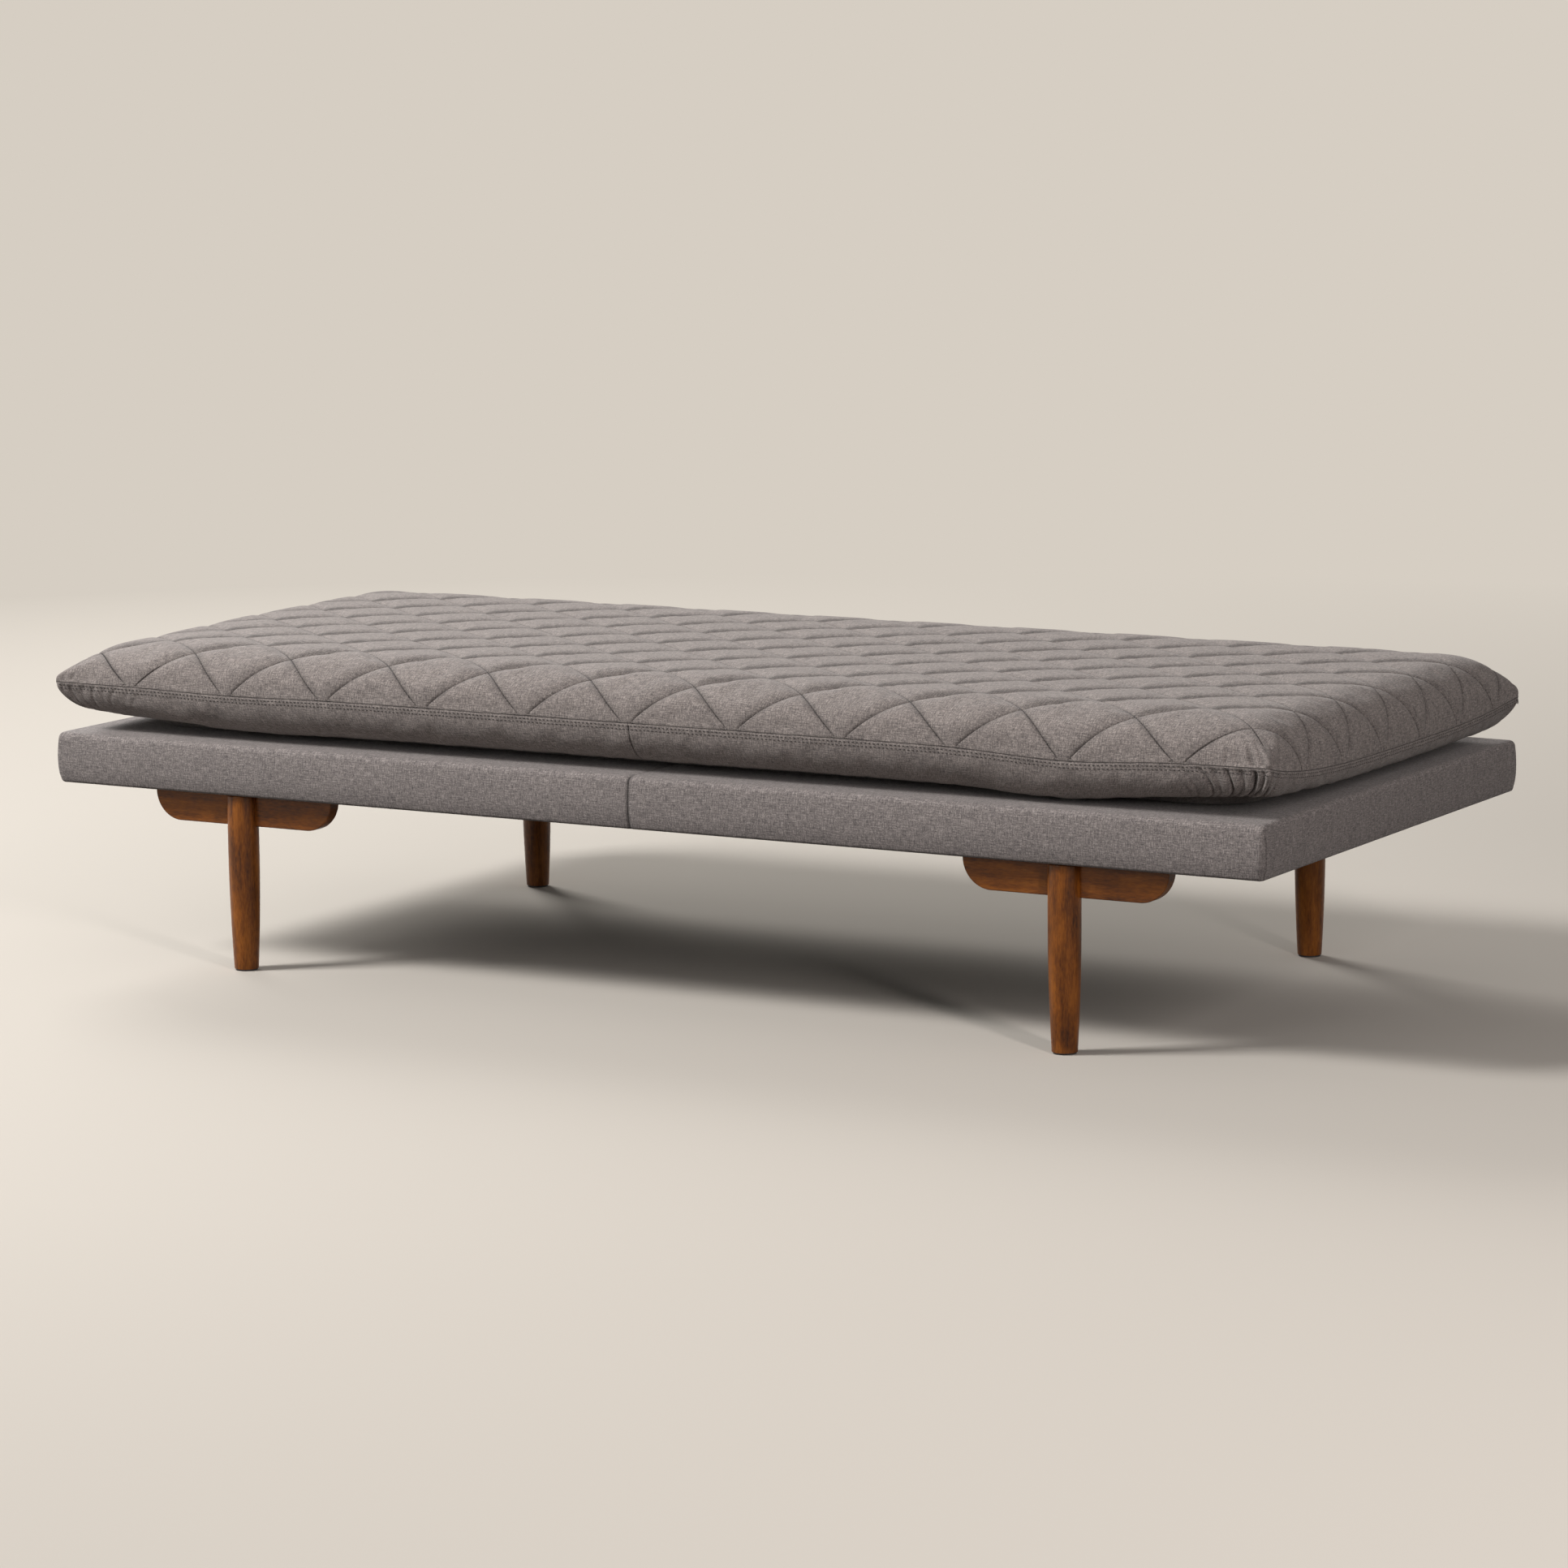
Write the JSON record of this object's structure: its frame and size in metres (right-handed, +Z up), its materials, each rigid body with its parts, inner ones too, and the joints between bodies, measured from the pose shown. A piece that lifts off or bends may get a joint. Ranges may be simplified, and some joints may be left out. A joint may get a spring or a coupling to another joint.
{
  "type": "daybed",
  "caption": "Low daybed: loose diamond-quilted mattress on an upholstered platform with turned tapered wooden legs half-lapped onto rounded brackets.",
  "frame": {"origin": "on the floor under the middle of the platform", "axes": "+X along the length towards the right end seen from the front, front towards -Y, +Z up"},
  "size_m": [1.804, 0.8, 0.444],
  "materials": {
    "walnut_wood": "walnut stain under satin lacquer",
    "glide_plastic": "matt moulded",
    "zinc_steel": "zinc plated",
    "frame_pine": "planed, bare",
    "deck_plywood": "sanded, bare",
    "foam": "open-cell foam",
    "platform_fabric": "heathered linen weave",
    "dust_cloth": "black non-woven cloth",
    "mattress_fabric": "heathered linen weave, quilted"
  },
  "bodies": {
    "base": {"leg_front_left": "walnut_wood", "leg_bracket_front_left": "walnut_wood", "foot_glide_front_left": "glide_plastic", "leg_front_right": "walnut_wood", "leg_bracket_front_right": "walnut_wood", "foot_glide_front_right": "glide_plastic", "leg_rear_left": "walnut_wood", "leg_bracket_rear_left": "walnut_wood", "foot_glide_rear_left": "glide_plastic", "leg_rear_right": "walnut_wood", "leg_bracket_rear_right": "walnut_wood", "foot_glide_rear_right": "glide_plastic", "leg_screws": "zinc_steel", "bracket_bolts": "zinc_steel", "bracket_washers": "zinc_steel", "tee_nuts": "zinc_steel", "frame_screws": "zinc_steel", "deck_screws": "zinc_steel", "front_rail": "frame_pine", "rear_rail": "frame_pine", "left_end_rail": "frame_pine", "right_end_rail": "frame_pine", "cross_rail_1": "frame_pine", "cross_rail_2": "frame_pine", "cross_rail_3": "frame_pine", "corner_blocks": "frame_pine", "deck_panel": "deck_plywood", "platform_padding": "foam", "platform_cover": "platform_fabric", "dust_cover": "dust_cloth"},
    "mattress": {"mattress_quilted_top": "mattress_fabric", "mattress_border": "mattress_fabric", "mattress_bottom_panel": "mattress_fabric", "mattress_foam_core": "foam"}
  },
  "joints": [
    {"name": "mattress_lift", "type": "slide", "parent": "base", "child": "mattress", "axis": [0, 0, 1], "range_m": [0, 0.25]}
  ]
}
